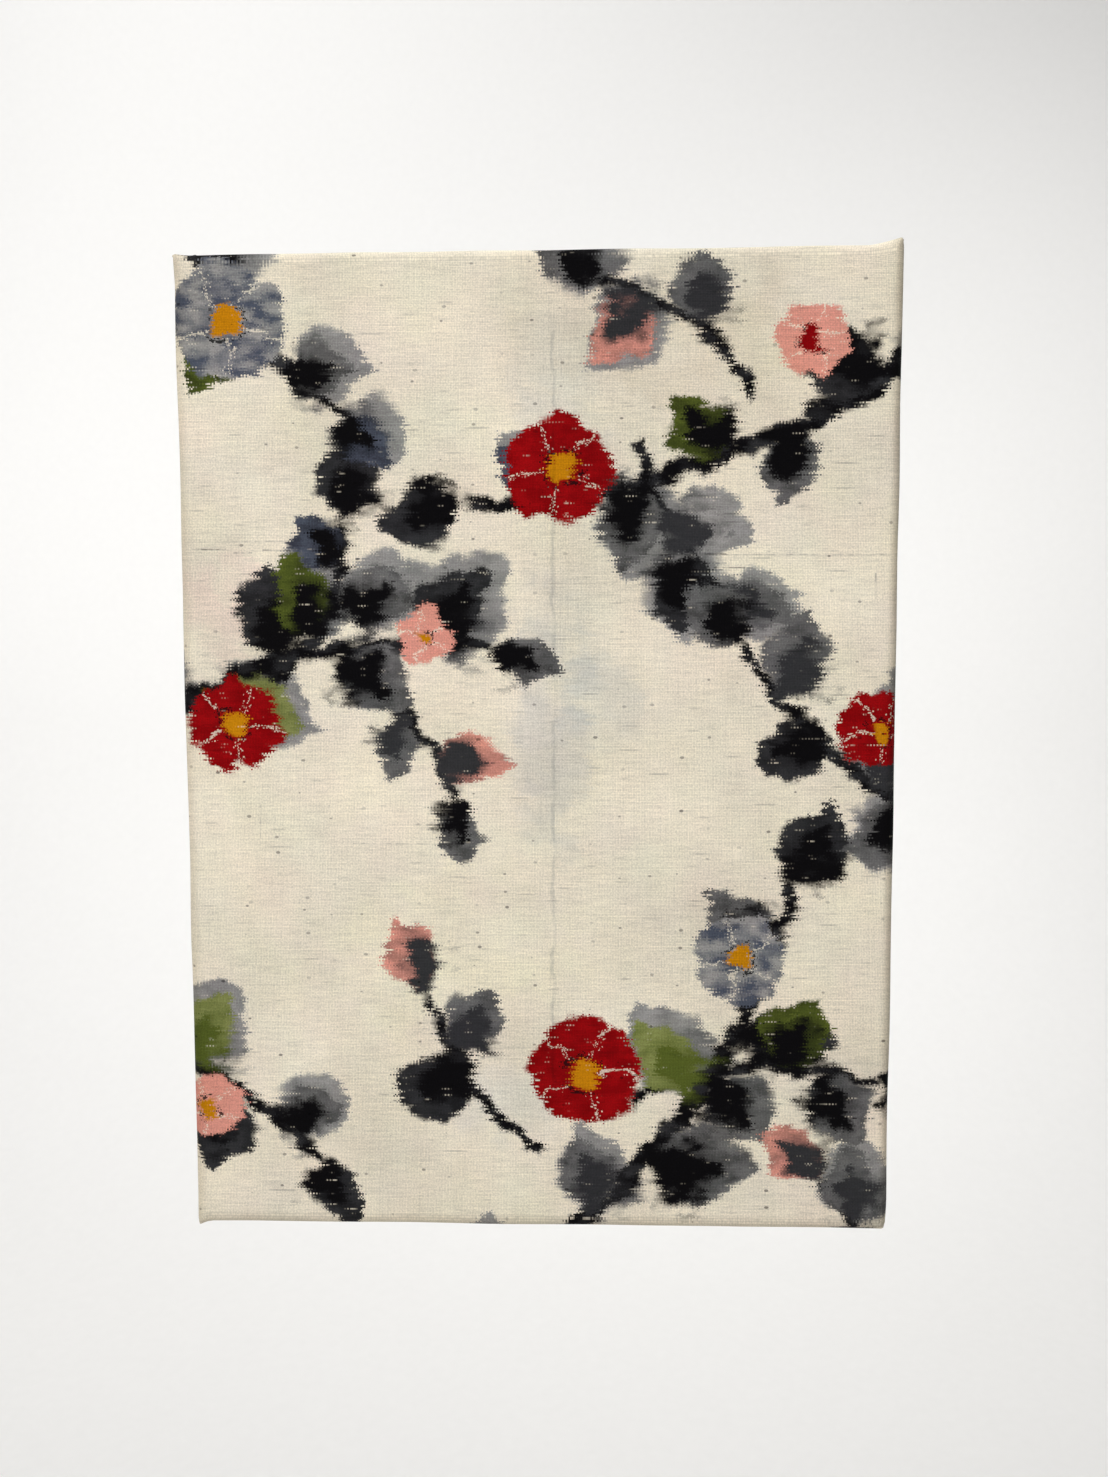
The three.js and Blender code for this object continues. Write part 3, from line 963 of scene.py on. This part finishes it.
def rounded(x, z, half_width, half_height, radius):
    """A place of a rectangle, moved so that the rectangle's corners are round."""
    if radius <= 0:
        return x, z
    over_x = (abs(x) - (half_width - radius)) / radius
    over_z = (abs(z) - (half_height - radius)) / radius
    if over_x <= 0 or over_z <= 0:
        return x, z
    round_x = over_x * math.sqrt(1 - over_z**2 / 2)
    round_z = over_z * math.sqrt(1 - over_x**2 / 2)
    x = math.copysign(half_width - radius + radius * round_x, x)
    z = math.copysign(half_height - radius + radius * round_z, z)
    return x, z


# Unevenness: its height, the length of its waves, and where they lie in the noise
EDGE_WAVE = (0.4, 34.0, 4.7)
CUT_WAVE = (1.1, 16.0, 2.1)
FRONT_WAVE = (0.25, 45.0, 9.3)
FRONT_SINK = 0.1  # how far the front lies in on the whole
RELIEF_EDGE = 10.0  # from the flat front's edge, where the relief is whole
LOOSE = 1.0  # how far the cloth stands off at the top and bottom, over its folded corners

# The corner folds. right and up are the corner's side, ear is how far the cloth stands up at
# the very corner, ear_width how far along the edge it takes to lie down, lean how far the
# corner stands out sideways, and ridge a second, lower fold: its place along and its height.
CORNER_FOLDS = rows("right up ear ear_width lean ridge", [
    (-1, 1, 1.2, 6, 0.9, (7.5, 0.7)),
    (1, 1, 4.2, 12, 0.1, (4.0, 0.3)),
    (-1, -1, 2.8, 5, 0.3, (9.0, 0.2)),
    (1, -1, 0.2, 6, -0.6, (8.0, 0.1)),
])
FOLD_REACH = 26  # along the edge, where the fold ends at the margin's cut edge
FOLD_STEP_FRONT = 0.25  # the height of the fold's inner edge over the single cloth
FOLD_STEP_BACK = 0.7
FOLD_INSET = 0.15  # the folded edges stay this far inside the panel's sides
FOLD_ROUND = 0.6  # the radius of the folded edges
FOLD_ROOT = 0.6  # how far the fold's hidden side lies under the cloth's outside
FOLD_START = 4.4  # from the front's edge: the fold begins out of sight from the front
EAR_CURVE = 1.4  # over 1, the ear rises faster near the corner
FOLD_END = 0.4  # from the margin's cut edge
FOLD_STEPS = (0.0, 0.024, 0.09, 0.198, 0.36, FOLD_ROUND)  # over its rounding
RIDGE_WIDTH = 1.6
EAR_ROOT = 9.0  # how far below the edge the front begins to rise into the ear
LEAN_REACH = 9.0
SHIFT_CURVE = 1.5  # how soon the corner's ear and lean are gone down the side
FOLD_CELLS = 16


def corner_shift(x, z, run):
    """How far the cloth stands out at the corners, sideways and upwards. run is the length of
    cloth from the flat front's edge, and the shift is gone where the cloth meets the back."""
    share = max(0.0, 1 - max(0.0, run) / (SIDE + QUARTER)) ** SHIFT_CURVE
    along, below = HALF_WIDTH - abs(x), HALF_HEIGHT - abs(z)
    shift = [0.0, 0.0]
    for fold in CORNER_FOLDS:
        if fold["right"] * x > 0 and fold["up"] * z > 0 and share > 0:
            rise = max(0.0, 1 - along / fold["ear_width"]) ** EAR_CURVE
            root = max(0.0, 1 - below / EAR_ROOT) ** 2
            lean = max(0.0, 1 - along / LEAN_REACH) * max(0.0, 1 - below / LEAN_REACH)
            shift[0] += fold["right"] * fold["lean"] * lean * share
            shift[1] += fold["up"] * fold["ear"] * rise * root * share
    return shift


def wave(kind, x, z):
    height, length, layer = kind
    return height * noise.noise(Vector((x / length, layer, z / length)))


def outline_wave(x, z, inset):
    """How far the outline or the margin's cut edge stands out of its straight line there."""
    edge = max(0.0, 1 - inset / EDGE_RADIUS)
    cut = max(0.0, 2 * inset / MARGIN_WIDTH - 1)
    return edge * wave(EDGE_WAVE, x, z) + cut * wave(CUT_WAVE, x, z)


def front_relief(x, z):
    """How far the front stands out of its plane: slow waves, and the creases as troughs."""
    edge = min(FLAT_WIDTH - abs(x), FLAT_HEIGHT - abs(z))
    out = wave(FRONT_WAVE, x, z) - FRONT_SINK
    for row in CREASES:
        start, end = Vector(row["start"]), Vector(row["end"])
        run = end - start
        offset = Vector((x, z)) - start
        share = min(1.0, max(0.0, offset.dot(run) / run.length_squared))
        distance = (offset - share * run).length / row["width"]
        out -= row["depth"] * math.exp(-(distance**2))
    return out * min(1.0, edge / RELIEF_EDGE)


class ClothBuilder:
    """Collects the cloth's points, and its faces with each corner's places on the flat cloth
    and on the bake's map."""

    def __init__(self):
        self.points = []
        self.faces = []
        self.places = []
        self.map_places = []

    def point(self, x, y, z):
        self.points.append(((CENTRE_X + x) * MM, y * MM, (CENTRE_Z + z) * MM))
        return len(self.points) - 1

    def grid(self, points, places, to_map, flip):
        """Faces over rows of points, seen counter-clockwise from outside unless flip is true.
        places holds pairs, on the flat cloth and in millimetres of the map's rectangle."""
        for j in range(len(points) - 1):
            for i in range(len(points[0]) - 1):
                cells = [(i, j), (i + 1, j), (i + 1, j + 1), (i, j + 1)]
                if flip:
                    cells.reverse()
                self.faces.append([points[n][m] for m, n in cells])
                self.places += [places[n][m][0] for m, n in cells]
                self.map_places += [to_map(*places[n][m][1]) for m, n in cells]

    def mesh(self, name):
        mesh = bpy.data.meshes.new(name)
        mesh.from_pydata(self.points, [], self.faces)
        for layer_name, places, scale in (
            ("OFBake", self.map_places, 1.0),
            ("cloth_place", self.places, MM),
        ):
            layer = mesh.uv_layers.new(name=layer_name)
            layer.data.foreach_set("uv", [value * scale for place in places for value in place])
        for polygon in mesh.polygons:
            corners = self.places[polygon.loop_start:polygon.loop_start + 4]
            polygon.material_index = patch_of(*(sum(values) / 4 for values in zip(*corners)))
        mesh.polygons.foreach_set("use_smooth", [True] * len(mesh.polygons))
        mesh.update()
        return mesh


def island(x, z, scale, turned=False):
    """What takes a place in millimetres to a rectangle of the bake's map. x and z are its
    corner, in shares of the map. With turned, its first axis runs up the map."""
    def place(first, second):
        if turned:
            first, second = second, first
        return (x + first * scale, z + second * scale)

    return place


# The bake's map: the front at the left, all else in a strip at the right
MAP_GAP = 0.006
FRONT_SCALE = (1 - 2 * MAP_GAP) / (2 * FLAT_HEIGHT)
STRIP_X = 2 * MAP_GAP + 2 * FLAT_WIDTH * FRONT_SCALE
STRIP_WIDTH = 1 - STRIP_X - MAP_GAP
REVERSE_SCALE = STRIP_WIDTH / (2 * FLAT_WIDTH)
SIDES_Z = 2 * MAP_GAP + 2 * FLAT_HEIGHT * REVERSE_SCALE
SIDE_SCALE = (STRIP_WIDTH - 4 * MAP_GAP) / (4 * CLOTH_REACH)
FOLDS_Z = SIDES_Z + 2 * HALF_HEIGHT * SIDE_SCALE + MAP_GAP
FOLD_SCALE = 0.9 * SIDE_SCALE
LINING_Z = FOLDS_Z + (CLOTH_REACH + 4) * FOLD_SCALE + MAP_GAP
HIDDEN_SHARE = 0.3  # of its map, what a side that never shows gets
LINING_SCALE = HIDDEN_SHARE * SIDE_SCALE

# The grid's outline, by side of the panel as (right, up), counter-clockwise from the lower left
LAST_X, LAST_Z = len(ACROSS) - 1, len(UPWARD) - 1
SIDE_LINES = {
    (0, -1): [(i, 0) for i in range(LAST_X + 1)],
    (1, 0): [(LAST_X, j) for j in range(LAST_Z + 1)],
    (0, 1): [(i, LAST_Z) for i in range(LAST_X, -1, -1)],
    (-1, 0): [(0, j) for j in range(LAST_Z, -1, -1)],
}
OUTLINE = [line for lines in SIDE_LINES.values() for line in lines[:-1]]


def side_island(side, inside):
    scale, z = (LINING_SCALE, LINING_Z) if inside else (SIDE_SCALE, SIDES_Z)
    number = list(SIDE_LINES).index(side)
    return island(STRIP_X + number * (CLOTH_REACH * scale + MAP_GAP), z, scale, turned=True)


def side_place(side, line, station):
    """A point of the outline on the flat cloth, and along and down its side of the panel."""
    inset, _, run = station
    x = ACROSS[line[0]] / FLAT_WIDTH * (HALF_WIDTH - inset)
    z = UPWARD[line[1]] / FLAT_HEIGHT * (HALF_HEIGHT - inset)
    if side[0]:
        return (side[0] * (FLAT_WIDTH + run), z), (z + HALF_HEIGHT, run)
    return (x, side[1] * (FLAT_HEIGHT + run)), (x + HALF_WIDTH, run)


def skin(builder, depth):
    """One side of the cloth, this deep inside it. Returns the points along its cut edge."""
    inside = depth > 0
    stations = section(depth)
    front = stations[0][1]
    points = []
    for z in UPWARD:
        shifts = [corner_shift(x, z, 0.0) for x in ACROSS]
        points.append([
            builder.point(x + out_x, front - front_relief(x, z), z + out_z)
            for x, (out_x, out_z) in zip(ACROSS, shifts)
        ])
    places = [[((x, z), (x + FLAT_WIDTH, z + FLAT_HEIGHT)) for x in ACROSS] for z in UPWARD]
    corner, scale = (STRIP_X, REVERSE_SCALE) if inside else (MAP_GAP, FRONT_SCALE)
    builder.grid(points, places, island(corner, MAP_GAP, scale), inside)

    rings = [{(i, j): points[j][i] for i, j in OUTLINE}]
    for inset, y, run in stations[1:]:
        half_width, half_height = HALF_WIDTH - inset, HALF_HEIGHT - inset
        radius = max(0.0, CORNER_RADIUS - inset)
        loose = LOOSE * max(0.0, 1 - run / (SIDE + QUARTER))
        ring = {}
        for i, j in OUTLINE:
            x = ACROSS[i] / FLAT_WIDTH * half_width
            z = UPWARD[j] / FLAT_HEIGHT * half_height
            out = outline_wave(x, z, inset)
            out_x = out * ((i == LAST_X) - (i == 0))
            out_z = (out + loose) * ((j == LAST_Z) - (j == 0))
            shift_x, shift_z = corner_shift(x, z, run)
            x, z = rounded(x, z, half_width, half_height, radius)
            ring[i, j] = builder.point(x + out_x + shift_x, y, z + out_z + shift_z)
        rings.append(ring)

    for side, lines in SIDE_LINES.items():
        points = [[ring[line] for ring in rings] for line in lines]
        places = [[side_place(side, line, station) for station in stations] for line in lines]
        builder.grid(points, places, side_island(side, inside), inside)
    return rings[-1]


def rim(builder, cut, inner_cut):
    """The cloth's cut edge, between its two sides."""
    last = section(0.0)[-1]
    for side, lines in SIDE_LINES.items():
        points = [[cut[line], inner_cut[line]] for line in lines]
        places = []
        for place, (along, run) in (side_place(side, line, last) for line in lines):
            places.append([(place, (along, run + over)) for over in (0, THICKNESS)])
        builder.grid(points, places, side_island(side, False), False)


def edge_round(distance):
    """The share of its height that a folded edge has, this far in from where it turns."""
    share = min(1.0, max(0.0, distance / FOLD_ROUND))
    return math.sqrt(1 - (1 - share) ** 2)


def fold_height(fold, run, along):
    """How far a fold's outside stands over the cloth under it."""
    share = run / CLOTH_REACH
    ridge_at, ridge_height = fold["ridge"]
    near = math.exp(-(((along - ridge_at) / RIDGE_WIDTH) ** 2))
    ridge = ridge_height * near * (1 - share) ** 3
    return FOLD_STEP_FRONT + share * (FOLD_STEP_BACK - FOLD_STEP_FRONT) + ridge


def corner_fold(builder, fold, number):
    """The cloth that is folded in at a corner, thin at its slanting edge and with an ear at
    the very corner. It is a flat loop, so its two sides share their rims."""
    right, up = fold["right"], fold["up"]
    length = CLOTH_REACH - FOLD_START - FOLD_END
    runs = [FOLD_START + step for step in spread(length, FOLD_STEPS, 2 * FOLD_CELLS)]
    outside, root, places = [], [], []
    for run in runs:
        for grid in (outside, root, places):
            grid.append([])
        reach = fold["ear_width"] + run / CLOTH_REACH * (FOLD_REACH - fold["ear_width"])
        depth, fall, out = section_at(run)
        steps = spread(reach - FOLD_INSET, FOLD_STEPS, FOLD_CELLS)
        for step in steps:
            along = FOLD_INSET + step
            ends = min(run - runs[0], runs[-1] - run, step, steps[-1] - step)
            stand = -FOLD_ROOT + (fold_height(fold, run, along) + FOLD_ROOT) * edge_round(ends)
            x = right * (HALF_WIDTH - along)
            shift_x, shift_z = corner_shift(x, up * (HALF_HEIGHT - fall), run)
            pair = [
                builder.point(
                    x + shift_x,
                    -HALF_DEPTH + depth + out[0] * over,
                    up * (HALF_HEIGHT - fall + out[1] * over) + shift_z,
                )
                for over in ((stand, -FOLD_ROOT) if ends else (stand,))
            ]
            outside[-1].append(pair[0])
            root[-1].append(pair[-1])
            places[-1].append(((x, up * (FLAT_HEIGHT + run)), (along, run)))
    for hidden, points in enumerate((outside, root)):
        place = number + hidden * len(CORNER_FOLDS)
        x = STRIP_X + place * (FOLD_REACH * FOLD_SCALE + MAP_GAP)
        scale = HIDDEN_SHARE * FOLD_SCALE if hidden else FOLD_SCALE
        flip = (right * up > 0) != hidden
        builder.grid(points, places, island(x, FOLDS_Z, scale), flip)


def make_cloth():
    builder = ClothBuilder()
    rim(builder, skin(builder, 0.0), skin(builder, THICKNESS))
    for number, fold in enumerate(CORNER_FOLDS):
        corner_fold(builder, fold, number)
    cloth = add_object("stretched_cloth", builder.mesh("stretched_cloth"))
    for material in cloth_materials():
        cloth.data.materials.append(material)
    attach(cloth, "root")
    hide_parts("cloth")


make_camera()
make_stage()
make_lights()
make_cloth()
finish_bars()
